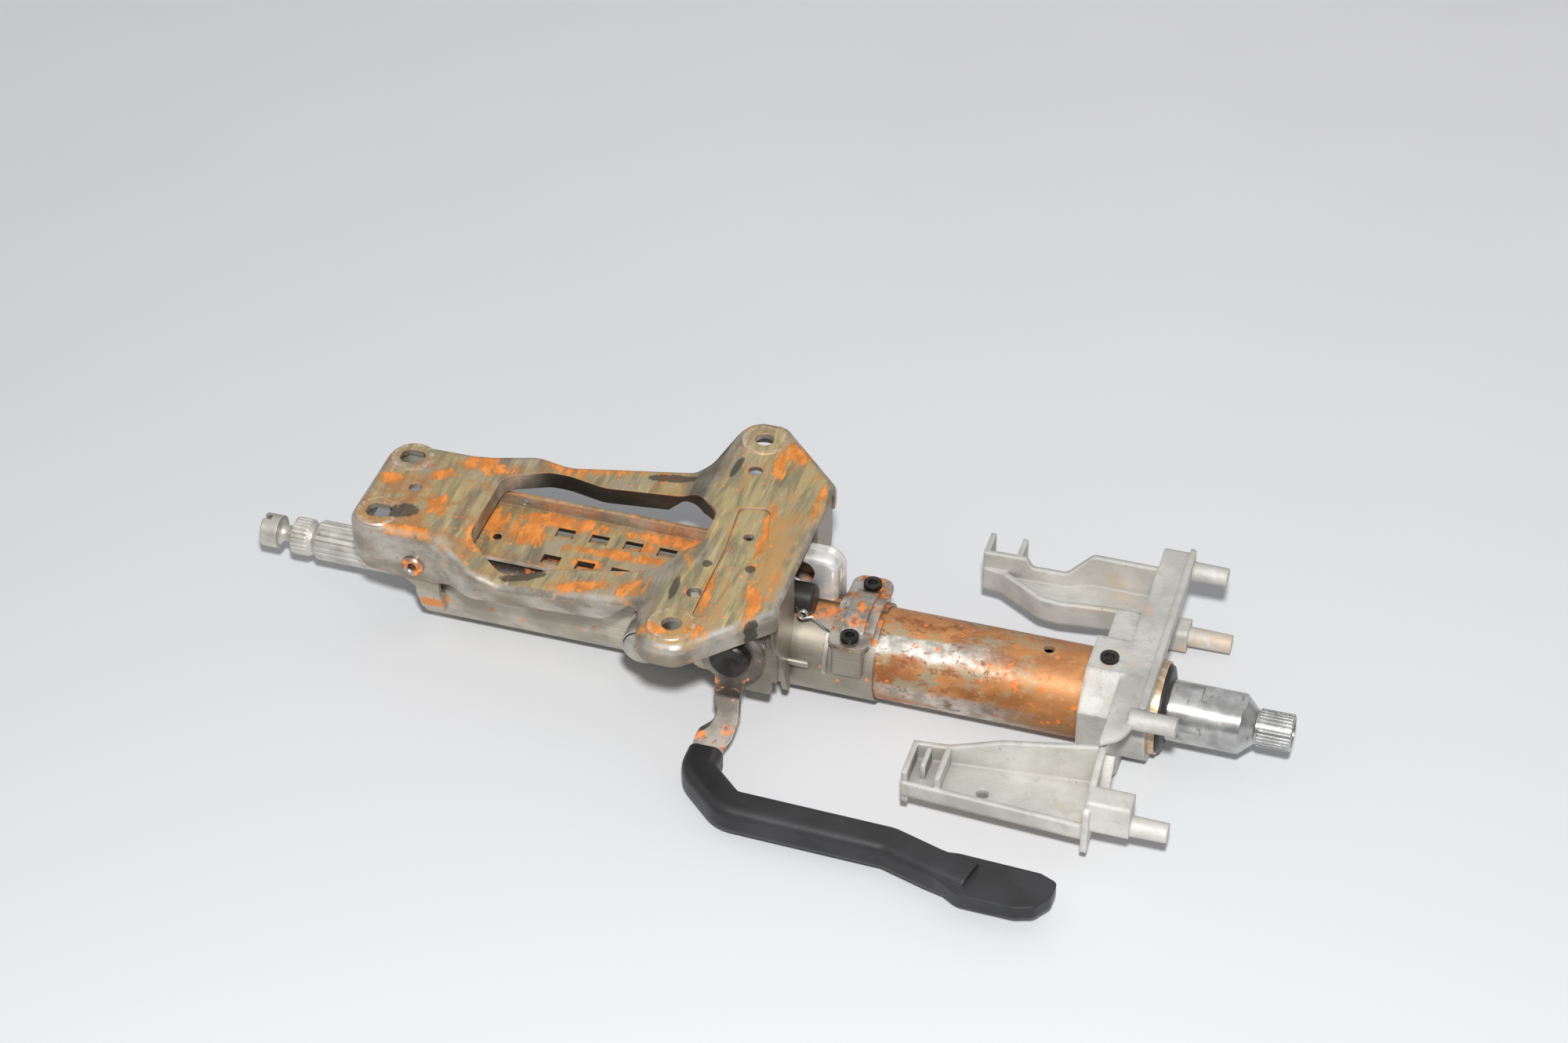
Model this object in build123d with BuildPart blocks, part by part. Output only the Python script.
from build123d import *
import os
from math import atan2, cos, degrees, hypot

os.makedirs("parts", exist_ok=True)

# Steering wheel adjustment mechanism: a manual tilt and telescope column.
# X runs along the steering axis toward the steering wheel, Y to the far side and Z up.
# The origin is the middle of the shaft's wheel end. Sizes are in millimetres.

# Fits and clearances
running_gap = 0.08
seat_gap = 0.05
free_gap = 0.3

# Inner column tube and the jacket that it slides in
tube_r = 21.0
tube_wall = 2.0
tube_front_x = -330.0
tube_rear_x = -58.0
tube_hole_x = -111.0
tube_hole_r = 2.4
jacket_wall = 1.4
jacket_front_x = -402.0
jacket_rear_x = -186.0
jacket_slit_w = 5.0
jacket_slit_len = 34.0

# Steering shafts
shaft_r = 0.65 * tube_r
shaft_rear_x = -22.6
shaft_front_x = -300.0
shaft_tail_r = shaft_r - 2.15
spline_r = 8.5
spline_len = 15.3
spline_depth = 0.55
spline_teeth = 30
cone_len = 6.0
wheel_thread_r = 5.2
wheel_thread_depth = 22.0
wheel_recess_r = 6.6
wheel_recess_depth = 2.0
shaft_flat_z = shaft_r - 1.25
shaft_flat_len = 20.0
lower_tip_x = -489.8
lower_shaft_r = 9.45
lower_shaft_rear_x = -232.0
lower_flutes = 20
flute_r = 0.75
flute_front_x = lower_tip_x + 28.8
flute_rear_x = -404.0
tip_r = 7.9
tip_len = 8.5
bulge_r = 8.1
neck_r = 6.1
serration_r = 8.9
serration_x = lower_tip_x + 16.2
serration_len = 7.2
serration_cut = 0.7
serration_teeth = 24

# Stamped mounting bracket
sheet = 2.5
bend_r = 4.5
front_edge_x = -433.0
rear_edge_x = -222.5
front_half_w = 32.0
arm_half_w = 48.5
rear_half_w = 47.0
block_floor_z = -30.0
ear_half_w = 83.0
front_sheet_z = 43.0
arm_dip_z = 34.8
rear_sheet_z = 53.2
pad_rise = 0.5
window_rim = 6.0
rim_start = 0.3
flange_rear_z = 42.0
profile_r = 22.0

front_hole_x = -420.2
front_hole_half = 20.7
front_slot_len = 11.4
front_slot_w = 9.6
front_slot_cut = 2.4
front_pad_r = 10.5
front_centre_x = -410.6
front_centre_r = 3.1
rear_hole_x = -263.8
rear_hole_half = 68.0
rear_hole_r = 4.5
rear_pad_r = 11.0
small_hole_x = -261.1
small_hole_half = 45.0
small_hole_r = 3.4
rear_centre_x = -250.2
rear_centre_r = 2.5
bead_depth = 1.5

# Tilt pivot near the front of the bracket
pivot_x = -400.4
pivot_z = 24.5
rivet_r = 4.0
rivet_head_r = 5.2
rivet_head_t = 2.2
rivet_bore_r = 2.0
bush_wall = 1.5
bush_flange_r = 7.4
bush_flange_t = 0.5
ear_t = 2.5
ear_gap = 0.6
tilt_up = 0.5
tilt_down = 4.5

# Clamp: bolt across the column, cheeks with tilt slots, cams and lever
bolt_x = -242.0
bolt_z = 28.0
bolt_r = 4.9
bolt_head_r = 9.2
bolt_head_t = 5.0
clamp_ear_y = 38.2
clamp_gap = 0.3
cheek_front_x = -264.0
cheek_bottom_z = 6.0
tongue_x = -233.5
tongue_w = 12.0
tongue_z = -1.5
fixed_cam_t = 4.6
moving_cam_t = 4.2
cam_r = 11.5
lever_t = 2.6
lever_ring_r = 15.2
ring_slot_r = 12.0
ring_slot_w = 3.0
washer_t = 2.0
washer_r = 11.0
thrust_t = 4.0
nut_af = 17.0
nut_t = 8.0

# Rear yoke plate under the bracket's rear edge
yoke_rear_x = -223.5
yoke_slot_half = 24.5
yoke_top_half = 18.0
pin_y = -27.5
pin_z = 9.0
pin_r = 1.8

# Balance spring on a stud at the near yoke
spring_x = -283.3
spring_z = 24.2
spring_r = 9.0
spring_wire = 1.3
spring_turns = 9
lobe_r = 9.5
stud_r = 3.0

# Saddle that closes the jacket on the tube, guard, buffer and wire clip
saddle_front_x = -207.0
saddle_len = 19.0
saddle_t = 2.0
arch_inset = 4.5
arch_rise = 1.4
saddle_ear_z = tube_r - 2.0
saddle_screw_x = saddle_front_x + saddle_len / 2
saddle_screw_y = tube_r - 2.0
saddle_screw_r = 2.5
screw_head_r = 4.2
screw_end_z = saddle_ear_z - 5.0
saddle_half_w = saddle_screw_y + 6.5
guard_rear_x = saddle_front_x - 2.2
guard_front_x = guard_rear_x - 24.8
guard_near_y = 2.0
guard_far_y = 11.0
guard_top_z = 45.0
guard_edge_r = 3.2
guard_corner_r = 7.0
guard_wall = 1.5
buffer_r = 7.0
buffer_y = -6.5
clip_y = -17.0
clip_wire_r = 0.8
yoke_foot_z = -9.0

# Lever arm and grip
arm_w = 14.0
grip_z = -15.8
grip_h = 14.5
grip_w = 13.0
paddle_t = 6.0

# Slotted guide plate on top of the jacket
guide_front_x = -385.0
guide_rear_x = -266.0
guide_slot_mid_x = -317.2
guide_near_y = -16.0
guide_far_y = 24.5
guide_t = 2.0
guide_flange_z = 31.0
guide_slots = 4
guide_slot_pitch = 16.4
guide_slot_len = 8.6
guide_slot_w = 6.0
guide_row_y = 9.9

# Switch carrier near the wheel end
carrier_front_x = -92.0
carrier_wall_x = -76.0
carrier_rim_x = -61.0
carrier_ring_r = tube_r + 4.3
carrier_top_z = tube_r + 3.5
carrier_pad_z = tube_r + 3.1
carrier_screw_x = -83.5
carrier_screw_y = -2.0
carrier_wall_t = 2.8
post_r = 4.8
post_tip_r = 4.4
post_tip_x = -42.5
post_far_y = 73.4
post_far_z = 19.4
post_c_y = -36.3
post_c_z = 23.0
post_d_y = -76.2
post_d_z = -1.0
arm_floor_z = -6.0
arm_floor_t = 2.5
arm_end_x = -157.0
arm_lip_drop = 2.6
arm_lip_h = 7.6
arm_hole_x = -122.0
arm_hole_y = -73.0
arm_hole_r = 2.9

# Upper bearing
bearing_bore_r = shaft_r - 1.65
shaft_shoulder_x = -78.0
bearing_rear_x = -66.0
race_t = 1.9
ball_count = 9
seal_len = 1.8

jacket_r_in = tube_r + running_gap
jacket_r = jacket_r_in + jacket_wall
bracket_in_y = front_half_w - sheet
pivot_ear_y = bracket_in_y - ear_gap
cheek_in_y = clamp_ear_y + clamp_gap
cheek_out_y = cheek_in_y + sheet
slot_half = bolt_r + free_gap
tilt_arm = hypot(bolt_x - pivot_x, bolt_z - pivot_z)
tilt_angle = degrees(atan2(bolt_z - pivot_z, bolt_x - pivot_x))



def x_plane(x):
    """Plane across the column at x, its first axis along Y and its second along Z."""
    return Plane(origin=(x, 0, 0), x_dir=(0, 1, 0), z_dir=(1, 0, 0))


def y_plane(y):
    """Plane along the column at y, its first axis along X and its normal toward -Y."""
    return Plane(origin=(0, y, 0), x_dir=(1, 0, 0), z_dir=(0, -1, 0))


def rounded(corners):
    """Closed face through (a, b, radius) corners."""
    with BuildSketch() as shape:
        with BuildLine():
            Polyline(*[(a, b) for a, b, r in corners], close=True)
        make_face()
        for a, b, r in corners:
            if r > 0:
                fillet(shape.vertices().sort_by_distance((a, b, 0))[0], r)
    return shape.sketch


def both_sides(half):
    """Corners of a loop that is the same on both sides of Y = 0."""
    return half + [(a, -b, r) for a, b, r in reversed(half)]


def finish(part, name):
    """Label a finished piece and write it to its file."""
    part.label = name
    export_step(part, "parts/" + name + ".step")


# Side line of the stamped sheet: front shelf, dipped arms, ramp and rear shelf
side_line = [
    (front_edge_x - 5, front_sheet_z),
    (-388.0, front_sheet_z + 0.5),
    (-352.0, arm_dip_z),
    (-291.0, 44.0),
    (-273.0, rear_sheet_z),
    (rear_edge_x + 10, rear_sheet_z),
]


def side_area(drop, floor_z=0.0):
    """Area below the sheet's side line, lowered by drop."""
    with BuildSketch() as area:
        with BuildLine():
            top = FilletPolyline(*[(x, z - drop) for x, z in side_line], radius=profile_r)
            Line(top @ 1, (side_line[-1][0], floor_z))
            Line((side_line[-1][0], floor_z), (side_line[0][0], floor_z))
            Line((side_line[0][0], floor_z), top @ 0)
        make_face()
    return area.sketch


outline = both_sides([
    (front_edge_x, front_half_w, 11.0),
    (-390.0, front_half_w, 16.0),
    (-368.0, 46.0, 16.0),
    (-330.0, arm_half_w - 0.8, 60.0),
    (-285.0, arm_half_w + 1.0, 9.0),
    (-276.0, ear_half_w, 13.0),
    (-257.0, ear_half_w, 9.0),
    (rear_edge_x, rear_half_w, 7.0),
])
window = both_sides([
    (-376.0, 23.0, 13.0),
    (-354.0, 39.5, 14.0),
    (-330.0, 30.5, 22.0),
    (-284.0, 27.5, 10.0),
    (-268.5, 12.0, 9.0),
])


def sheet_block(inset):
    """Solid under the bracket's skin, set in by inset, with its upper edges rounded."""
    with BuildPart() as block:
        with BuildSketch(Plane.XY.offset(block_floor_z)):
            add(rounded(outline))
            if inset > 0:
                offset(amount=-inset)
                with Locations((rear_edge_x, 0)):
                    Rectangle(30, 2 * (rear_half_w - inset - 2.2))
        extrude(amount=90 - block_floor_z)
        with BuildSketch(Plane.XZ):
            add(side_area(inset, block_floor_z))
        extrude(amount=120, both=True, mode=Mode.INTERSECT)
        rim = []
        for edge in block.edges():
            box = edge.bounding_box()
            across = box.size.X < 0.01 and box.size.Z < 0.01
            inner = front_edge_x + 4 < box.min.X and box.max.X < rear_edge_x - 4
            if box.min.Z > 20 and box.size.Y > 0.01 and not (across and inner):
                if not (across and box.max.X > rear_edge_x - 1):
                    rim.append(edge)
        if bend_r > inset:
            fillet(rim, bend_r - inset)
    return block.part


flange_cut = [
    (front_edge_x - 10, 27.0, 0),
    (front_edge_x + 2, 27.0, 3.0),
    (-424.0, 19.0, 5.0),
    (-410.0, 16.5, 6.0),
    (-390.0, 16.5, 6.0),
    (-380.0, 23.0, 6.0),
    (-302.0, 30.5, 8.0),
    (-290.0, flange_rear_z, 5.0),
    (rear_edge_x + 10, flange_rear_z, 0),
    (rear_edge_x + 10, -60.0, 0),
    (front_edge_x - 10, -60.0, 0),
]
bead = [
    (-260.0, 18.0, 4.0),
    (-246.0, 20.0, 4.0),
    (-240.5, -2.0, 8.0),
    (-247.5, -36.0, 8.0),
    (-252.0, -60.0, 2.5),
    (-257.5, -60.0, 2.5),
    (-257.5, -12.0, 20.0),
]

# Turned-down rim round the bracket's window
with BuildPart() as rim_ring:
    with BuildSketch():
        add(rounded(window))
        offset(amount=sheet)
    extrude(amount=80)
    with BuildSketch(Plane.XZ):
        add(side_area(rim_start))
        add(side_area(sheet + window_rim), mode=Mode.SUBTRACT)
    extrude(amount=120, both=True, mode=Mode.INTERSECT)

# Mounting bracket: a pressed sheet with turned-down sides, a window and raised pads
cavity = sheet_block(sheet)
with BuildPart() as mounting_bracket:
    add(sheet_block(0))
    add(cavity, mode=Mode.SUBTRACT)
    add(rim_ring.part)
    with BuildSketch():
        add(rounded(window))
    extrude(amount=80, mode=Mode.SUBTRACT)
    with BuildSketch(Plane.XZ):
        add(rounded(flange_cut))
    extrude(amount=120, both=True, mode=Mode.SUBTRACT)
    # Recessed bead across the rear shelf
    with BuildSketch(Plane.XY.offset(rear_sheet_z - sheet - bead_depth)):
        add(rounded(bead))
        offset(amount=sheet)
    extrude(amount=bead_depth + 1)
    with BuildSketch(Plane.XY.offset(rear_sheet_z - bead_depth)):
        add(rounded(bead))
    extrude(amount=10, mode=Mode.SUBTRACT)
    # Raised pads round the mounting holes
    for x, half, base_z, pad_r in (
        (rear_hole_x, rear_hole_half, rear_sheet_z, rear_pad_r),
        (front_hole_x, front_hole_half, front_sheet_z, front_pad_r),
    ):
        with Locations((x, half, base_z), (x, -half, base_z)):
            Cone(pad_r + pad_rise, pad_r - pad_rise, 2 * pad_rise)
    # Holes and slots through the sheet
    with BuildSketch(Plane.XY.offset(front_sheet_z - 6)) as bracket_slots:
        with Locations((front_hole_x, front_hole_half), (front_hole_x, -front_hole_half)):
            Rectangle(front_slot_len, front_slot_w)
        chamfer(bracket_slots.vertices(), front_slot_cut)
        with Locations((front_centre_x, 0)):
            Circle(front_centre_r)
    extrude(amount=20, mode=Mode.SUBTRACT)
    with BuildSketch(Plane.XY.offset(rear_sheet_z - 8)):
        with Locations((rear_hole_x, rear_hole_half), (rear_hole_x, -rear_hole_half)):
            Circle(rear_hole_r)
        with Locations((small_hole_x, small_hole_half), (small_hole_x, -small_hole_half)):
            Circle(small_hole_r)
        with Locations((rear_centre_x, 0)):
            Circle(rear_centre_r)
    extrude(amount=20, mode=Mode.SUBTRACT)
    # Pivot rivet holes in both sides
    with Locations(Location((pivot_x, 0, pivot_z), (90, 0, 0))):
        Cylinder(rivet_r + seat_gap, 4 * front_half_w, mode=Mode.SUBTRACT)
finish(mounting_bracket.part, "mounting_bracket")

cheek_slot = CenterArc((pivot_x, pivot_z), tilt_arm, tilt_angle - tilt_down - 0.15,
                       tilt_up + tilt_down + 0.3)

# Rear yokes: a cheek with the tilt slot and a rear wing beside the jacket, each side
under_sheet_z = rear_sheet_z - sheet
for name, side in (("rear_yoke_near", -1), ("rear_yoke_far", 1)):
    with BuildPart() as yoke:
        with BuildSketch(x_plane(yoke_rear_x - sheet)):
            add(rounded([
                (side * rear_half_w, under_sheet_z, 0),
                (side * (rear_half_w - 2.0), 33.0, 4.0),
                (side * (yoke_slot_half + 3.5), yoke_foot_z, 1.0),
                (side * yoke_slot_half, yoke_foot_z, 0.5),
                (side * yoke_slot_half, 12.0, 8.0),
                (side * yoke_top_half, 27.0, 5.0),
                (side * yoke_top_half, under_sheet_z, 0),
            ]))
        extrude(amount=sheet)
        with BuildSketch(y_plane(side * (cheek_in_y + sheet / 2))):
            add(rounded([
                (cheek_front_x, under_sheet_z, 0),
                (cheek_front_x, cheek_bottom_z, 5.0),
                (yoke_rear_x - sheet / 2, cheek_bottom_z, 0),
                (yoke_rear_x - sheet / 2, under_sheet_z, 0),
            ]))
            if side < 0:
                add(rounded([
                    (cheek_front_x + 8, spring_z + lobe_r, 0),
                    (spring_x - lobe_r, spring_z + lobe_r, lobe_r - 0.1),
                    (spring_x - lobe_r, spring_z - lobe_r, lobe_r - 0.1),
                    (cheek_front_x + 8, spring_z - lobe_r, 0),
                ]))
                add(rounded([
                    (tongue_x - tongue_w / 2, cheek_bottom_z + 2, 0),
                    (tongue_x - tongue_w / 2, tongue_z, 1.5),
                    (tongue_x + tongue_w / 2, tongue_z, 1.5),
                    (tongue_x + tongue_w / 2, cheek_bottom_z + 2, 0),
                ]))
                with Locations((spring_x, spring_z)):
                    Circle(stud_r + seat_gap, mode=Mode.SUBTRACT)
            SlotArc(cheek_slot, 2 * slot_half, mode=Mode.SUBTRACT)
        extrude(amount=sheet / 2, both=True)
        add(cavity, mode=Mode.INTERSECT)
        with BuildSketch(Plane.XY.offset(under_sheet_z - bead_depth)):
            add(rounded(bead))
            offset(amount=sheet)
        extrude(amount=10, mode=Mode.SUBTRACT)
        if side < 0:
            with BuildSketch(x_plane(yoke_rear_x - sheet - 1)):
                with Locations((pin_y, pin_z)):
                    Circle(pin_r + seat_gap)
            extrude(amount=sheet + 2, mode=Mode.SUBTRACT)
    finish(yoke.part, name)

# Pivot rivets: hollow, with a formed head outside and a flared end inside
for name, side in (("pivot_rivet_near", -1), ("pivot_rivet_far", 1)):
    inner_y = pivot_ear_y - ear_t - bush_flange_t - rivet_head_t - seat_gap
    with BuildPart() as rivet:
        with BuildSketch(Plane(origin=(pivot_x, 0, pivot_z), x_dir=(1, 0, 0), z_dir=(0, 0, 1))):
            with BuildLine():
                Polyline(
                    (rivet_bore_r, side * inner_y),
                    (rivet_head_r, side * inner_y),
                    (rivet_head_r, side * (inner_y + rivet_head_t)),
                    (rivet_r, side * (inner_y + rivet_head_t)),
                    (rivet_r, side * front_half_w),
                    (rivet_head_r, side * front_half_w),
                    (rivet_head_r, side * (front_half_w + rivet_head_t * 0.6)),
                    (rivet_head_r - 1, side * (front_half_w + rivet_head_t)),
                    (rivet_bore_r + 0.6, side * (front_half_w + rivet_head_t)),
                    (rivet_bore_r, side * (front_half_w + rivet_head_t * 0.6)),
                    close=True,
                )
            make_face()
        revolve(axis=Axis((pivot_x, 0, pivot_z), (0, 1, 0)))
    finish(rivet.part, name)

# Flanged plastic bushes between the rivets and the column's ears
bush_r = rivet_r + running_gap + bush_wall
for name, side in (("pivot_bush_near", -1), ("pivot_bush_far", 1)):
    inner_y = pivot_ear_y - ear_t - bush_flange_t
    with BuildPart() as bush:
        with BuildSketch(Plane(origin=(pivot_x, 0, pivot_z), x_dir=(1, 0, 0), z_dir=(0, 0, 1))):
            with BuildLine():
                Polyline(
                    (rivet_r + running_gap, side * inner_y),
                    (bush_flange_r, side * inner_y),
                    (bush_flange_r, side * (inner_y + bush_flange_t)),
                    (bush_r, side * (inner_y + bush_flange_t)),
                    (bush_r, side * (pivot_ear_y + bush_flange_t)),
                    (rivet_r + running_gap, side * (pivot_ear_y + bush_flange_t)),
                    close=True,
                )
            make_face()
        revolve(axis=Axis((pivot_x, 0, pivot_z), (0, 1, 0)))
    finish(bush.part, name)

# Outer jacket: thin tube, slit at the rear so that the saddle can close it
with BuildPart() as outer_jacket:
    with BuildSketch(x_plane(jacket_front_x)):
        Circle(jacket_r)
        Circle(jacket_r_in, mode=Mode.SUBTRACT)
    extrude(amount=jacket_rear_x - jacket_front_x)
    with BuildSketch(Plane.XY.offset(jacket_r_in / 2)):
        with Locations((jacket_rear_x - jacket_slit_len / 2, 0)):
            SlotOverall(jacket_slit_len * 1.4, jacket_slit_w)
    extrude(amount=jacket_r, mode=Mode.SUBTRACT)
    # Threaded blocks for the saddle's screws
    with BuildSketch(Plane.XY.offset(4.0)):
        with Locations((saddle_screw_x, saddle_screw_y), (saddle_screw_x, -saddle_screw_y)):
            RectangleRounded(14.0, 12.0, 1.5)
    extrude(amount=saddle_ear_z - seat_gap - 4.0)
    with BuildSketch(Plane.XY):
        with Locations((saddle_screw_x, saddle_screw_y), (saddle_screw_x, -saddle_screw_y)):
            Circle(saddle_screw_r + seat_gap)
    extrude(amount=jacket_r, mode=Mode.SUBTRACT)
    with BuildSketch(x_plane(jacket_rear_x - jacket_slit_len)):
        Circle(jacket_r_in)
    extrude(amount=jacket_slit_len + 1, mode=Mode.SUBTRACT)
finish(outer_jacket.part, "outer_jacket")


def column_ear(side, ear_y, front_x, rear_x, top_z, hole_x, hole_z, hole_r):
    """Plate beside the jacket, its foot bent in to lie on the jacket's side."""
    with BuildPart() as ear:
        with BuildSketch(x_plane(front_x)):
            with BuildLine():
                Polyline(
                    (side * (ear_y - ear_t), top_z),
                    (side * ear_y, top_z),
                    (side * ear_y, 6.0),
                    (side * (jacket_r + 1.0), -7.0),
                    (side * (jacket_r - 4.0), -7.0),
                    (side * (jacket_r - 4.0), -1.0),
                    (side * (ear_y - ear_t), 7.0),
                    close=True,
                )
            make_face()
        extrude(amount=rear_x - front_x)
        fillet(ear.edges().filter_by(Axis.Y).group_by(Axis.Z)[-1], 5.0)
        with BuildSketch(x_plane(front_x - 1)):
            Circle(jacket_r)
        extrude(amount=rear_x - front_x + 2, mode=Mode.SUBTRACT)
        with BuildSketch(Plane.XZ):
            add(rounded([
                (front_x - 1, hole_z - 8.0, 0),
                (front_x + 8.5, hole_z - 15.0, 0),
                (front_x + 8.5, -10.0, 0),
                (front_x - 1, -10.0, 0),
            ]))
        extrude(amount=2 * ear_y, both=True, mode=Mode.SUBTRACT)
        with BuildSketch(y_plane(side * (ear_y - ear_t / 2))):
            with Locations((hole_x, hole_z)):
                Circle(hole_r)
        extrude(amount=ear_t, both=True, mode=Mode.SUBTRACT)
    return ear.part


# Ears at the front that hang on the pivot rivets
for name, side in (("pivot_ear_near", -1), ("pivot_ear_far", 1)):
    ear = column_ear(side, pivot_ear_y, pivot_x - 9.5, pivot_x + 10.5, pivot_z + 8.5,
                     pivot_x, pivot_z, bush_r + seat_gap)
    finish(ear, name)

# Ears at the clamp, pressed by the cheeks when the lever is closed
for name, side in (("clamp_ear_near", -1), ("clamp_ear_far", 1)):
    ear = column_ear(side, clamp_ear_y, bolt_x - 12.0, bolt_x + 12.0, bolt_z + 9.0,
                     bolt_x, bolt_z, bolt_r + seat_gap)
    finish(ear, name)

# Slotted guide plate: louvred rows, a raised far flange and a screw hole
with BuildPart() as guide_plate:
    guide_bottom_z = jacket_r + seat_gap
    guide_len = guide_rear_x - guide_front_x
    guide_mid_x = (guide_rear_x + guide_front_x) / 2
    with BuildSketch(x_plane(guide_front_x)):
        with BuildLine():
            Polyline(
                (guide_near_y, guide_bottom_z),
                (guide_far_y, guide_bottom_z),
                (guide_far_y, guide_flange_z),
                (guide_far_y - guide_t, guide_flange_z),
                (guide_far_y - guide_t, guide_bottom_z + guide_t),
                (guide_near_y, guide_bottom_z + guide_t),
                close=True,
            )
        make_face()
    extrude(amount=guide_len)
    with BuildSketch(Plane.XY.offset(guide_bottom_z - 1)):
        with Locations((guide_slot_mid_x, 0)):
            with GridLocations(guide_slot_pitch, 2 * guide_row_y, guide_slots, 2):
                Rectangle(guide_slot_len, guide_slot_w)
        with Locations((-371.0, -1.5)):
            Circle(2.1)
    extrude(amount=5, mode=Mode.SUBTRACT)
    with BuildSketch(y_plane(guide_far_y + 1)):
        with Locations((-366.0, guide_bottom_z + guide_t + 3.2)):
            Circle(1.8)
    extrude(amount=5, mode=Mode.SUBTRACT)
finish(guide_plate.part, "guide_plate")


def turned(profile, axis_x, axis_z):
    """Solid of revolution about the clamp bolt's direction, from (radius, y) points."""
    with BuildPart() as piece:
        with BuildSketch(Plane(origin=(axis_x, 0, axis_z), x_dir=(1, 0, 0), z_dir=(0, 0, 1))):
            with BuildLine():
                Polyline(*profile, close=True)
            make_face()
        revolve(axis=Axis((axis_x, 0, axis_z), (0, 1, 0)))
    return piece.part


# Clamp stack on the near side: cheek, fixed cam, moving cam, lever, bolt head
fixed_cam_y = -(cheek_out_y + seat_gap)
moving_cam_y = fixed_cam_y - fixed_cam_t - running_gap
lever_y = moving_cam_y - moving_cam_t - running_gap
head_y = lever_y - lever_t - running_gap
# Far side: cheek, washer, thrust bearing, nut
washer_y = cheek_out_y + seat_gap
thrust_y = washer_y + washer_t + seat_gap
nut_y = thrust_y + thrust_t + seat_gap
bolt_end_y = nut_y + nut_t + 4.0

with BuildPart() as clamp_bolt:
    add(turned([
        (0, head_y - bolt_head_t),
        (bolt_head_r - 1.2, head_y - bolt_head_t),
        (bolt_head_r, head_y - bolt_head_t + 1.2),
        (bolt_head_r, head_y),
        (bolt_r, head_y),
        (bolt_r, bolt_end_y - 1),
        (bolt_r - 1, bolt_end_y),
        (0, bolt_end_y),
    ], bolt_x, bolt_z))
finish(clamp_bolt.part, "clamp_bolt")

with BuildPart() as fixed_cam:
    add(turned([
        (bolt_r + running_gap, fixed_cam_y),
        (cam_r + 1.0, fixed_cam_y),
        (cam_r + 1.0, fixed_cam_y - fixed_cam_t / 2),
        (cam_r, fixed_cam_y - fixed_cam_t),
        (bolt_r + running_gap, fixed_cam_y - fixed_cam_t),
    ], bolt_x, bolt_z))
finish(fixed_cam.part, "fixed_cam")

with BuildPart() as moving_cam:
    add(turned([
        (bolt_r + running_gap, moving_cam_y),
        (cam_r, moving_cam_y),
        (cam_r, moving_cam_y - moving_cam_t),
        (bolt_r + running_gap, moving_cam_y - moving_cam_t),
    ], bolt_x, bolt_z))
finish(moving_cam.part, "moving_cam")

with BuildPart() as clamp_washer:
    add(turned([
        (bolt_r + seat_gap, washer_y),
        (washer_r, washer_y),
        (washer_r, washer_y + washer_t),
        (bolt_r + seat_gap, washer_y + washer_t),
    ], bolt_x, bolt_z))
finish(clamp_washer.part, "clamp_washer")

with BuildPart() as thrust_bearing:
    add(turned([
        (bolt_r + seat_gap, thrust_y),
        (washer_r - 0.8, thrust_y),
        (washer_r - 0.8, thrust_y + 1.2),
        (washer_r - 1.6, thrust_y + 1.2),
        (washer_r - 1.6, thrust_y + thrust_t - 1.2),
        (washer_r - 0.8, thrust_y + thrust_t - 1.2),
        (washer_r - 0.8, thrust_y + thrust_t),
        (bolt_r + seat_gap, thrust_y + thrust_t),
    ], bolt_x, bolt_z))
finish(thrust_bearing.part, "thrust_bearing")

with BuildPart() as clamp_nut:
    with BuildSketch(y_plane(nut_y + nut_t)):
        with Locations((bolt_x, bolt_z)):
            RegularPolygon(nut_af / 2, 6, major_radius=False)
            Circle(bolt_r + seat_gap, mode=Mode.SUBTRACT)
    extrude(amount=nut_t)
    chamfer(clamp_nut.faces().sort_by(Axis.Y)[-1].outer_wire().edges(), 0.8)
finish(clamp_nut.part, "clamp_nut")

# Lever arm: ring on the bolt, then a pressed strip that winds out to the grip
arm_path = [
    (lever_y - lever_t / 2, bolt_z - lever_ring_r + 4.0),
    (lever_y - lever_t / 2, 2.5),
    (lever_y - 7.5, -3.5),
    (lever_y - 16.0, -10.0),
    (lever_y - 21.5, grip_z + 1.0),
    (lever_y - 34.0, grip_z),
]
arm_sides = [
    (bolt_x - arm_w / 2 - 0.5, bolt_z - lever_ring_r + 2.0, 0),
    (bolt_x - arm_w / 2 - 1.0, 1.0, 3.0),
    (bolt_x - arm_w / 2 + 2.5, -2.0, 3.0),
    (bolt_x - arm_w / 2, -6.5, 3.0),
    (bolt_x - arm_w / 2 - 5.5, -9.5, 2.5),
    (bolt_x - arm_w / 2 - 5.5, grip_z - 6.0, 0),
    (bolt_x + arm_w / 2 - 5.5, grip_z - 6.0, 0),
    (bolt_x + arm_w / 2 - 5.5, -13.0, 2.0),
    (bolt_x + arm_w / 2 - 2.5, -8.5, 4.0),
    (bolt_x + arm_w / 2 - 2.0, -3.5, 3.0),
    (bolt_x + arm_w / 2 - 3.5, 2.5, 3.0),
    (bolt_x + arm_w / 2 - 0.5, bolt_z - lever_ring_r + 2.0, 0),
]
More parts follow.
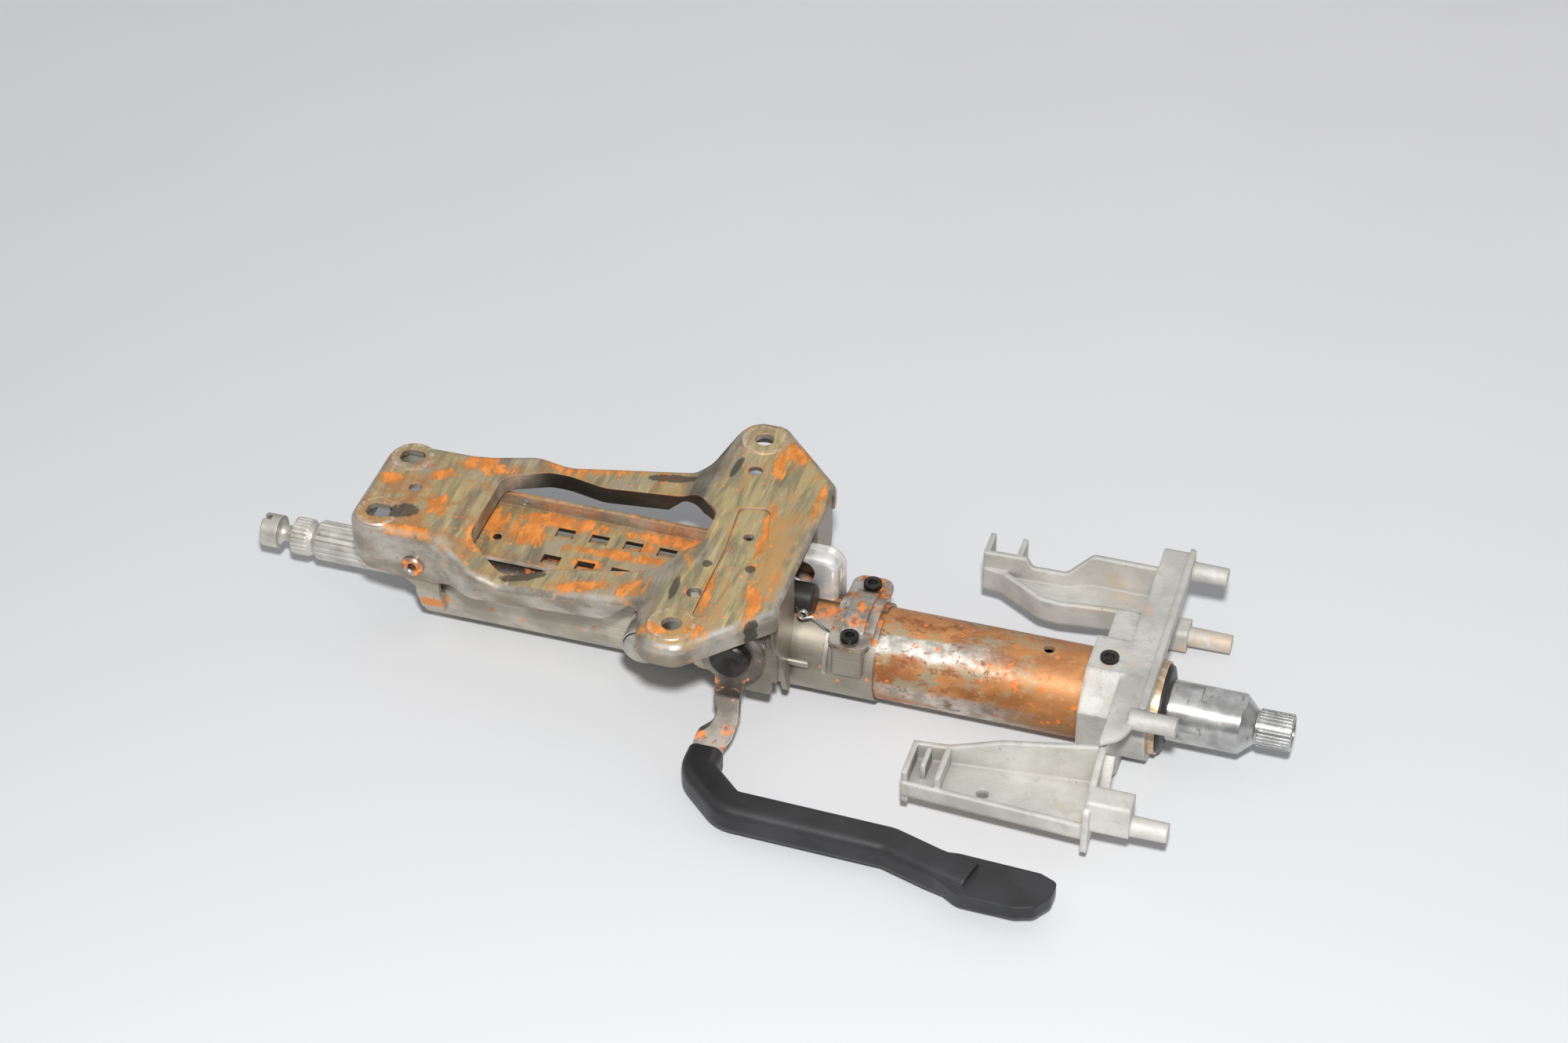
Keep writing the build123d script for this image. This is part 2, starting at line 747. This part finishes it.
with BuildPart() as lever_arm:
    with BuildSketch(x_plane(bolt_x - arm_w)):
        with BuildLine():
            centre = FilletPolyline(*arm_path, radius=3.0)
        trace(centre, line_width=lever_t)
    extrude(amount=2 * arm_w)
    with BuildSketch(Plane.XZ):
        add(rounded(arm_sides))
    extrude(amount=2 * ear_half_w, mode=Mode.INTERSECT)
    with BuildSketch(y_plane(lever_y)):
        with Locations((bolt_x, bolt_z)):
            Circle(lever_ring_r)
    extrude(amount=lever_t)
    with BuildSketch(y_plane(lever_y + 1)):
        with Locations((bolt_x, bolt_z)):
            Circle(bolt_r + running_gap)
        SlotArc(CenterArc((bolt_x, bolt_z), ring_slot_r, -30.0, 34.0), ring_slot_w)
    extrude(amount=lever_t + 2, mode=Mode.SUBTRACT)
finish(lever_arm.part, "lever_arm")

# Grip: swept bar that turns along the column, then a flat paddle
grip_x = bolt_x - 5.5
grip_y = lever_y - 23.5
bar_y = -102.5
with BuildPart() as lever_grip:
    with BuildLine() as bar_line:
        FilletPolyline(
            (grip_x, grip_y, grip_z),
            (grip_x, -85.0, grip_z),
            (grip_x + 19.0, bar_y, grip_z),
            (-155.0, bar_y - 2.0, grip_z),
            (-134.0, bar_y - 8.5, grip_z),
            (-116.0, bar_y - 13.0, grip_z),
            radius=11.0,
        )
    with BuildSketch(Plane(origin=(grip_x, grip_y, grip_z), x_dir=(1, 0, 0), z_dir=(0, -1, 0))):
        RectangleRounded(grip_w + 3, grip_h, 4.5)
    sweep(transition=Transition.ROUND)
    with BuildSketch(Plane.XY.offset(grip_z - 1.5)):
        add(rounded([
            (-141.0, bar_y - 3.0, 5.0),
            (-124.0, bar_y - 1.0, 8.0),
            (-88.0, bar_y - 2.5, 4.0),
            (-80.0, bar_y - 6.0, 3.0),
            (-80.5, bar_y - 15.0, 4.0),
            (-86.0, bar_y - 23.0, 4.0),
            (-94.0, bar_y - 25.5, 6.0),
            (-119.0, bar_y - 25.0, 10.0),
            (-138.0, bar_y - 13.0, 5.0),
        ]))
    extrude(amount=paddle_t)
    with BuildSketch(x_plane(grip_x - arm_w / 2 - seat_gap)):
        with BuildLine():
            centre = FilletPolyline(*arm_path, radius=3.0)
        trace(centre, line_width=lever_t + 2 * seat_gap)
    extrude(amount=arm_w + 2 * seat_gap, mode=Mode.SUBTRACT)
finish(lever_grip.part, "lever_grip")

# Inner column tube
with BuildPart() as inner_tube:
    with BuildSketch(x_plane(tube_front_x)):
        Circle(tube_r)
        Circle(tube_r - tube_wall, mode=Mode.SUBTRACT)
    extrude(amount=tube_rear_x - tube_front_x)
    with BuildSketch(Plane.XY.offset(tube_r / 2)):
        with Locations((tube_hole_x, 0)):
            Circle(tube_hole_r)
    extrude(amount=tube_r, mode=Mode.SUBTRACT)
finish(inner_tube.part, "inner_tube")

# Upper shaft: splined end, cone, full diameter with a milled flat, hollow tail
with BuildPart() as upper_shaft:
    with BuildSketch(Plane.XZ):
        with BuildLine():
            Polyline(
                (shaft_front_x, lower_shaft_r + running_gap),
                (shaft_front_x, shaft_tail_r),
                (shaft_shoulder_x, shaft_tail_r),
                (shaft_shoulder_x, bearing_bore_r),
                (bearing_rear_x, bearing_bore_r),
                (bearing_rear_x, shaft_r),
                (shaft_rear_x, shaft_r),
                (-spline_len - 1.0, spline_r - spline_depth - 0.3),
                (-spline_len, spline_r - spline_depth - 0.3),
                (-spline_len, spline_r),
                (-0.8, spline_r),
                (0, spline_r - 0.8),
                (0, wheel_recess_r),
                (-wheel_recess_depth, wheel_recess_r),
                (-wheel_recess_depth, wheel_thread_r),
                (-wheel_thread_depth, wheel_thread_r),
                (-wheel_thread_depth - 3.0, 0),
                (lower_shaft_rear_x + 40, 0),
                (lower_shaft_rear_x + 35, lower_shaft_r + running_gap),
                close=True,
            )
        make_face()
    revolve(axis=Axis.X)
    with BuildSketch(x_plane(-spline_len - 0.5)):
        with PolarLocations(spline_r + 0.1, spline_teeth):
            RegularPolygon(spline_depth + 0.1, 3)
    extrude(amount=spline_len + 1, mode=Mode.SUBTRACT)
    with BuildSketch(Plane.XY.offset(shaft_flat_z)):
        with Locations((shaft_rear_x - shaft_flat_len / 2 + 1.5, 0)):
            Rectangle(shaft_flat_len, 2 * shaft_r)
    extrude(amount=5, mode=Mode.SUBTRACT)
finish(upper_shaft.part, "upper_shaft")

# Lower shaft: stub spline with a bulge and neck, then the fluted sliding length
with BuildPart() as lower_shaft:
    with BuildSketch(Plane.XZ):
        with BuildLine():
            points = Polyline(
                (lower_tip_x, 0),
                (lower_tip_x, tip_r - 0.6),
                (lower_tip_x + 0.6, tip_r),
                (lower_tip_x + tip_len, tip_r),
                (lower_tip_x + tip_len, neck_r),
            )
            RadiusArc(points @ 1, (lower_tip_x + tip_len + 6.8, neck_r + 0.2), -3.6)
            Line((lower_tip_x + tip_len + 6.8, neck_r + 0.2), (serration_x, neck_r + 0.2))
            Polyline(
                (serration_x, neck_r + 0.2),
                (serration_x, serration_r),
                (serration_x + serration_len, serration_r),
                (serration_x + serration_len + 2.4, serration_r - 1.6),
                (flute_front_x - 2.6, serration_r - 1.6),
                (flute_front_x, lower_shaft_r),
                (lower_shaft_rear_x, lower_shaft_r),
                (lower_shaft_rear_x, 0),
                (lower_tip_x, 0),
            )
        make_face()
    revolve(axis=Axis.X)
    with BuildSketch(x_plane(flute_front_x - 2)):
        with PolarLocations(lower_shaft_r + 0.15, lower_flutes):
            RegularPolygon(flute_r, 4)
    extrude(amount=flute_rear_x - flute_front_x + 2, mode=Mode.SUBTRACT)
    with BuildSketch(x_plane(serration_x - 0.4)):
        with PolarLocations(serration_r + 0.1, serration_teeth):
            RegularPolygon(serration_cut, 4)
    extrude(amount=serration_len + 2, mode=Mode.SUBTRACT)
    with BuildSketch(x_plane(lower_tip_x - 1)):
        with Locations((0, tip_r)):
            Rectangle(3.2, 5.0)
    extrude(amount=5.0, mode=Mode.SUBTRACT)
finish(lower_shaft.part, "lower_shaft")


def ring(front_x, rear_x, inner_r, outer_r, name):
    """Plain ring about the steering axis."""
    with BuildPart() as piece:
        with BuildSketch(x_plane(front_x)):
            Circle(outer_r)
            Circle(inner_r, mode=Mode.SUBTRACT)
        extrude(amount=rear_x - front_x)
    finish(piece.part, name)


# Bearings: a plastic bush for the lower shaft, ball races for the upper shaft
ring(jacket_front_x, jacket_front_x + 14, lower_shaft_r + running_gap,
     jacket_r_in - seat_gap, "lower_bush")

race_mid_x = (shaft_shoulder_x + bearing_rear_x) / 2
race_half = (bearing_rear_x - shaft_shoulder_x) / 2 - 0.5
outer_race_r = tube_r - tube_wall - seat_gap
inner_race_r = bearing_bore_r + seat_gap
ball_pitch_r = (outer_race_r + inner_race_r) / 2
ball_r = (outer_race_r - inner_race_r) / 2 - race_t
ring(race_mid_x - race_half, race_mid_x + race_half, inner_race_r,
     ball_pitch_r - ball_r - seat_gap, "upper_bearing_inner")
ring(race_mid_x - race_half, race_mid_x + race_half, ball_pitch_r + ball_r + seat_gap,
     outer_race_r, "upper_bearing_outer")

with BuildPart() as balls:
    with BuildSketch(x_plane(race_mid_x - ball_r)):
        with PolarLocations(ball_pitch_r, ball_count):
            Circle(ball_r)
    extrude(amount=2 * ball_r)
finish(balls.part, "upper_bearing_balls")

# Seal in the tube's end and a snap ring against the outer race
seal_gap_x = tube_rear_x + seat_gap
with BuildPart() as shaft_seal:
    with BuildSketch(Plane.XZ):
        with BuildLine():
            Polyline(
                (tube_rear_x - 2.5, shaft_r + running_gap),
                (tube_rear_x - 2.5, outer_race_r),
                (seal_gap_x, outer_race_r),
                (seal_gap_x, tube_r - 0.8),
                (seal_gap_x + seal_len, tube_r - 2.0),
                (seal_gap_x + seal_len + 1.2, shaft_r + 1.6),
                (seal_gap_x + seal_len + 1.2, shaft_r + running_gap),
                close=True,
            )
        make_face()
    revolve(axis=Axis.X)
finish(shaft_seal.part, "shaft_seal")

ring(bearing_rear_x - 0.4, bearing_rear_x + 1.2, shaft_r + 1.5,
     tube_r - tube_wall - seat_gap, "snap_ring")

# Switch carrier: a cast wall across the tube, a top plate, a collar, two arms and posts
carrier_bore_r = tube_r + seat_gap
with BuildPart() as switch_carrier:
    with BuildSketch(x_plane(carrier_front_x)):
        RegularPolygon(carrier_ring_r, 8, major_radius=False, rotation=22.5)
        with Locations((1.5, carrier_pad_z / 2)):
            Rectangle(22, carrier_pad_z)
        with Locations((1.5, carrier_pad_z + 5.0)):
            Rectangle(24, 10, mode=Mode.SUBTRACT)
    extrude(amount=carrier_wall_x - carrier_front_x + 1)
    with BuildSketch(x_plane(carrier_wall_x)):
        Circle(carrier_ring_r - 0.6)
    extrude(amount=carrier_rim_x - carrier_wall_x - 0.5)
    with BuildSketch(x_plane(carrier_wall_x)):
        add(rounded([
            (79.6, carrier_top_z - 1.2, 1.0),
            (79.6, -26.0, 4.0),
            (62.0, -26.0, 6.0),
            (48.0, -14.0, 8.0),
            (34.0, -20.0, 8.0),
            (18.0, -27.0, 8.0),
            (-18.0, -27.0, 8.0),
            (-30.0, -18.0, 6.0),
            (-58.0, -13.0, 8.0),
            (-78.5, -13.0, 1.0),
            (-79.5, -15.5, 1.0),
            (-84.0, -15.5, 1.2),
            (-84.0, 8.0, 3.0),
            (-60.0, 17.0, 3.0),
            (-49.4, 18.0, 2.0),
            (-49.4, carrier_top_z - 1.2, 1.0),
        ]))
    extrude(amount=carrier_wall_t)
    # Top plate with a raised rim at its wheel edge
    with BuildSketch(Plane.XY.offset(carrier_top_z - carrier_wall_t)):
        add(rounded([
            (carrier_wall_x - 0.4, 80.0, 2.0),
            (carrier_rim_x, 80.0, 3.0),
            (carrier_rim_x, -31.0, 12.0),
            (carrier_rim_x - 6.5, -50.0, 12.0),
            (carrier_wall_x - 0.4, -56.5, 1.0),
        ]))
    extrude(amount=carrier_wall_t)
    with BuildSketch(Plane.XY.offset(carrier_top_z - 6.0)):
        add(rounded([
            (carrier_rim_x - 3.0, 80.0, 0.5),
            (carrier_rim_x, 80.0, 2.0),
            (carrier_rim_x, -33.0, 1.0),
            (carrier_rim_x - 3.0, -33.0, 1.0),
        ]))
    extrude(amount=8.5)
    # Low pad beside the collar
    with BuildSketch(Plane.XY.offset(14.0)):
        with Locations((carrier_wall_x - 5.5, 23.0)):
            RectangleRounded(13.0, 24.0, 2.0)
    extrude(amount=8.0)
    # Near arm: floor, upright wall, outer lip and boxed end
    with BuildSketch(Plane.XY.offset(arm_floor_z)):
        add(rounded([
            (arm_end_x, -79.0, 1.5),
            (carrier_wall_x + 1, -83.0, 0),
            (carrier_wall_x + 1, -52.0, 0),
            (arm_end_x, -60.0, 3.0),
        ]))
        with Locations((arm_hole_x, arm_hole_y)):
            Circle(arm_hole_r, mode=Mode.SUBTRACT)
    extrude(amount=arm_floor_t)
    with BuildSketch(Plane.XY.offset(arm_floor_z - arm_lip_drop)):
        add(rounded([
            (arm_end_x, -79.0, 0),
            (carrier_wall_x + 1, -83.0, 0),
            (carrier_wall_x + 1, -80.5, 0),
            (arm_end_x, -76.5, 0),
        ]))
    extrude(amount=arm_lip_h)
    with BuildSketch(Plane.XY.offset(arm_floor_z - 6.5)):
        with Locations((arm_end_x + 1.5, -76.4)):
            Rectangle(3.0, 4.0)
    extrude(amount=10.0)
    with BuildSketch(Plane.XY.offset(arm_floor_z)):
        add(rounded([
            (arm_end_x, -60.0, 0),
            (carrier_wall_x + 1, -52.0, 0),
            (carrier_wall_x + 1, -49.5, 0),
            (arm_end_x, -57.5, 0),
        ]))
        with Locations((arm_end_x + 1.25, -68.5), (arm_end_x + 16.0, -68.5)):
            Rectangle(2.5, 20.0)
        with Locations((arm_end_x + 8.0, -66.0)):
            Rectangle(2.0, 12.0)
    extrude(amount=26.0)
    with BuildSketch(y_plane(-40.0)):
        add(rounded([
            (arm_end_x - 5, 5.0, 0),
            (-141.0, 5.0, 10.0),
            (-118.0, 12.0, 20.0),
            (carrier_wall_x, 17.0, 0),
            (carrier_wall_x, 26.0, 0),
            (arm_end_x - 5, 26.0, 0),
        ]))
    extrude(amount=55.0, mode=Mode.SUBTRACT)
    # Far arm: inner wall, outer wall, pocket floor and the shelf with two upstands
    with BuildSketch(Plane.XY.offset(-6.0)):
        add(rounded([
            (arm_end_x, 66.5, 0),
            (arm_end_x, 63.5, 1.0),
            (-148.0, 62.5, 4.0),
            (-127.0, 49.5, 8.0),
            (-117.6, 48.4, 8.0),
            (-94.6, 51.0, 10.0),
            (carrier_wall_x + 1, 51.0, 0),
            (carrier_wall_x + 1, 53.6, 0),
            (-94.6, 53.6, 10.0),
            (-117.6, 51.0, 6.0),
            (-126.0, 52.0, 6.0),
            (-147.0, 65.0, 4.0),
        ]))
    extrude(amount=12.0)
    with BuildSketch():
        add(rounded([
            (arm_end_x, 80.0, 1.0),
            (arm_end_x, 63.5, 1.0),
            (-148.0, 62.5, 4.0),
            (-127.0, 49.5, 8.0),
            (-117.6, 48.4, 8.0),
            (-94.6, 51.0, 10.0),
            (carrier_wall_x + 1, 51.0, 0),
            (carrier_wall_x + 1, 72.0, 0),
            (-107.0, 72.0, 4.0),
            (-118.0, 67.5, 4.0),
            (-136.0, 67.5, 3.0),
            (-140.0, 80.0, 1.0),
        ]))
    extrude(amount=3.0)
    with BuildSketch(Plane.XY.offset(-6.0)):
        add(rounded([
            (arm_end_x, 66.5, 0),
            (arm_end_x, 64.0, 0),
            (-117.5, 65.0, 4.0),
            (-106.5, 69.5, 4.0),
            (carrier_wall_x + 1, 69.5, 0),
            (carrier_wall_x + 1, 72.0, 0),
            (-107.0, 72.0, 4.0),
            (-118.0, 67.5, 4.0),
        ]))
        with Locations((arm_end_x + 1.25, 72.0), (-140.5, 72.0)):
            Rectangle(2.5, 14.0)
    extrude(amount=25.5)
    with BuildSketch(y_plane(90.0)):
        add(rounded([
            (arm_end_x - 5, 15.0, 0),
            (-137.0, 15.0, 0),
            (-134.0, 10.0, 2.0),
            (-118.0, 10.0, 5.0),
            (-107.0, 19.5, 5.0),
            (carrier_wall_x, 19.5, 0),
            (carrier_wall_x, 30.0, 0),
            (arm_end_x - 5, 30.0, 0),
        ]))
    extrude(amount=50.0, mode=Mode.SUBTRACT)
    # Bosses, a slanting rib and four posts that taper to the wheel
    with BuildSketch(x_plane(carrier_wall_x + 1)):
        with Locations((post_far_y, -post_far_z)):
            RectangleRounded(13.0, 13.0, 3.0)
    extrude(amount=15.0)
    with BuildSketch(x_plane(carrier_wall_x + 1)):
        with Locations((post_d_y + 0.2, post_d_z + 5.2)):
            RectangleRounded(12.0, 17.0, 1.5)
    extrude(amount=19.0)
    with BuildSketch(x_plane(carrier_wall_x + 1)):
        add(rounded([
            (-54.0, 15.5, 0),
            (-51.5, 14.5, 0),
            (-67.5, -8.0, 0),
            (-70.0, -7.0, 0),
        ]))
    extrude(amount=6.0)
    for y, z, tip_x in (
        (post_far_y, post_far_z, post_tip_x - 2.5),
        (post_far_y, -post_far_z, post_tip_x + 2.5),
        (post_c_y, post_c_z, post_tip_x - 4.0),
        (post_d_y, post_d_z, post_tip_x + 2.5),
    ):
        with Locations(Location((carrier_rim_x - 6.0, y, z), (0, 90, 0))):
            Cone(post_r, post_tip_r, tip_x - carrier_rim_x + 6.0,
                 align=(Align.CENTER, Align.CENTER, Align.MIN))
    # Bore and screw hole
    with BuildSketch(x_plane(carrier_front_x - 1)):
        Circle(carrier_bore_r)
    extrude(amount=carrier_rim_x - carrier_front_x + 2, mode=Mode.SUBTRACT)
    with BuildSketch(Plane.XY.offset(tube_r)):
        with Locations((carrier_screw_x, carrier_screw_y)):
            Circle(3.0)
    extrude(amount=10.0, mode=Mode.SUBTRACT)
finish(switch_carrier.part, "switch_carrier")

# Screw through the carrier's pad onto the tube
with BuildPart() as carrier_screw:
    with BuildSketch(Plane.XY.offset(tube_r + seat_gap)):
        with Locations((carrier_screw_x, carrier_screw_y)):
            Circle(3.0 - seat_gap)
    extrude(amount=carrier_pad_z - tube_r)
    with BuildSketch(Plane.XY.offset(carrier_pad_z + seat_gap)):
        with Locations((carrier_screw_x, carrier_screw_y)):
            Circle(screw_head_r)
    extrude(amount=1.6)
    with BuildSketch(Plane.XY.offset(carrier_pad_z + 0.6)):
        with Locations((carrier_screw_x, carrier_screw_y)):
            RegularPolygon(2.4, 6)
    extrude(amount=3, mode=Mode.SUBTRACT)
finish(carrier_screw.part, "carrier_screw")

# Saddle: an arch over the jacket with an ear on each side
with BuildPart() as saddle_bridge:
    with BuildSketch(x_plane(saddle_front_x)):
        Circle(jacket_r + seat_gap + saddle_t)
        Circle(jacket_r + seat_gap, mode=Mode.SUBTRACT)
        with Locations((0, saddle_ear_z - 40.0)):
            Rectangle(80, 80, mode=Mode.SUBTRACT)
    extrude(amount=saddle_len)
    with BuildSketch(x_plane(saddle_front_x + arch_inset)):
        Circle(jacket_r + seat_gap + saddle_t + arch_rise)
        Circle(jacket_r + seat_gap, mode=Mode.SUBTRACT)
        with Locations((0, saddle_ear_z - 38.0)):
            Rectangle(80, 80, mode=Mode.SUBTRACT)
    extrude(amount=saddle_len - 2 * arch_inset)
    with BuildSketch(Plane.XY.offset(saddle_ear_z)):
        with Locations((saddle_front_x + saddle_len / 2, 0)):
            RectangleRounded(saddle_len, 2 * saddle_half_w, 6.0)
    extrude(amount=saddle_t)
    with BuildSketch(x_plane(saddle_front_x - 1)):
        Circle(jacket_r + seat_gap)
    extrude(amount=saddle_len + 2, mode=Mode.SUBTRACT)
    with BuildSketch(Plane.XY.offset(saddle_ear_z - 1)):
        with Locations((saddle_screw_x, saddle_screw_y), (saddle_screw_x, -saddle_screw_y)):
            Circle(saddle_screw_r + free_gap)
    extrude(amount=saddle_t + 2, mode=Mode.SUBTRACT)
finish(saddle_bridge.part, "saddle_bridge")

# Two socket screws that pull the saddle down
with BuildPart() as saddle_screws:
    with BuildSketch(Plane.XY.offset(saddle_ear_z + saddle_t + seat_gap)):
        with Locations((saddle_screw_x, saddle_screw_y), (saddle_screw_x, -saddle_screw_y)):
            Circle(screw_head_r)
    extrude(amount=2.2)
    with BuildSketch(Plane.XY.offset(screw_end_z)):
        with Locations((saddle_screw_x, saddle_screw_y), (saddle_screw_x, -saddle_screw_y)):
            Circle(saddle_screw_r)
    extrude(amount=saddle_ear_z + saddle_t + 1.0 - screw_end_z)
    with BuildSketch(Plane.XY.offset(saddle_ear_z + saddle_t + 0.8)):
        with Locations((saddle_screw_x, saddle_screw_y), (saddle_screw_x, -saddle_screw_y)):
            RegularPolygon(2.4, 6)
    extrude(amount=4, mode=Mode.SUBTRACT)
finish(saddle_screws.part, "saddle_screws")

# Drawn guard: a rounded cup on the jacket's top with a rim on its far side
guard_mid_x = (guard_front_x + guard_rear_x) / 2
guard_floor_z = 15.0
guard_w = guard_rear_x - guard_front_x
guard_h = guard_top_z - guard_floor_z
with BuildPart() as drawn_guard:
    with BuildSketch(y_plane(guard_far_y)):
        with Locations((guard_mid_x, (guard_top_z + guard_floor_z) / 2)):
            RectangleRounded(guard_w, guard_h, guard_corner_r)
    extrude(amount=guard_far_y - guard_near_y)
    fillet(drawn_guard.faces().sort_by(Axis.Y)[0].edges(), guard_edge_r)
    with BuildSketch(y_plane(guard_far_y)):
        with Locations((guard_mid_x, (guard_top_z + guard_floor_z) / 2)):
            RectangleRounded(guard_w + 2 * guard_wall, guard_h + 2 * guard_wall,
                             guard_corner_r + guard_wall)
    extrude(amount=1.2)
    with BuildSketch(y_plane(guard_far_y + 0.1)):
        with Locations((guard_mid_x, (guard_top_z + guard_floor_z) / 2)):
            RectangleRounded(guard_w - 2 * guard_wall, guard_h - 2 * guard_wall,
                             guard_corner_r - guard_wall)
    extrude(amount=guard_far_y - guard_near_y - guard_wall, mode=Mode.SUBTRACT)
    with BuildSketch(y_plane(guard_far_y)):
        with Locations((guard_front_x + 8.0, 36.0)):
            Circle(6.0)
    extrude(amount=20, mode=Mode.SUBTRACT)
    with BuildSketch(x_plane(guard_front_x - 5)):
        Circle(jacket_r + seat_gap)
    extrude(amount=60, mode=Mode.SUBTRACT)
finish(drawn_guard.part, "drawn_guard")

# Rubber stop buffer lying on the jacket's top
buffer_z = (jacket_r + buffer_r) * cos(atan2(-buffer_y, jacket_r + buffer_r))
with BuildPart() as stop_buffer:
    with BuildSketch(x_plane(-231.0)):
        with Locations((buffer_y, buffer_z)):
            Circle(buffer_r)
    extrude(amount=14.0)
    chamfer(stop_buffer.edges().filter_by(GeomType.CIRCLE), 1.2)
    with BuildSketch(x_plane(-240.0)):
        Circle(jacket_r + seat_gap)
    extrude(amount=40, mode=Mode.SUBTRACT)
finish(stop_buffer.part, "stop_buffer")

# Wire clip: a thin strip down the jacket's near side and the wire that holds it
with BuildPart() as wire_clip:
    with BuildSketch(x_plane(-209.5)):
        Circle(jacket_r + seat_gap + 0.9)
        Circle(jacket_r + seat_gap, mode=Mode.SUBTRACT)
        with Locations((40.0 + clip_y + 3.5, 0), (0, -40.0 + 1.0)):
            Rectangle(80, 80, mode=Mode.SUBTRACT)
    extrude(amount=2.2)
finish(wire_clip.part, "wire_clip")

# Stop pin standing out of the near yoke's wing
with BuildPart() as stop_pin:
    with BuildSketch(x_plane(yoke_rear_x - sheet)):
        with Locations((pin_y, pin_z)):
            Circle(pin_r)
    extrude(amount=sheet + 10.0)
    chamfer(stop_pin.edges().group_by(Axis.X)[-1], 0.8)
finish(stop_pin.part, "stop_pin")

# Stud and close-wound balance spring beside the near yoke
spring_y = -(cheek_out_y + 3.0)
spring_len = spring_turns * spring_wire
with BuildPart() as spring_stud:
    add(turned([
        (0, -cheek_in_y),
        (stud_r, -cheek_in_y),
        (stud_r, -(cheek_out_y + seat_gap)),
        (spring_r - spring_wire - 0.1, -(cheek_out_y + seat_gap)),
        (spring_r - spring_wire - 0.1, spring_y - spring_len),
        (stud_r - 0.5, spring_y - spring_len),
        (stud_r - 1.0, spring_y - spring_len - 1.5),
        (0, spring_y - spring_len - 1.5),
    ], spring_x, spring_z))
finish(spring_stud.part, "spring_stud")

coil = [
    (spring_r - spring_wire, spring_y - spring_len),
    (spring_r - spring_wire, spring_y),
    (spring_r - 0.4, spring_y),
    (spring_r, spring_y - spring_wire / 2),
    (spring_r, spring_y - spring_len + spring_wire / 2),
    (spring_r - 0.4, spring_y - spring_len),
]
with BuildPart() as balance_spring:
    add(turned(coil, spring_x, spring_z))
finish(balance_spring.part, "balance_spring")
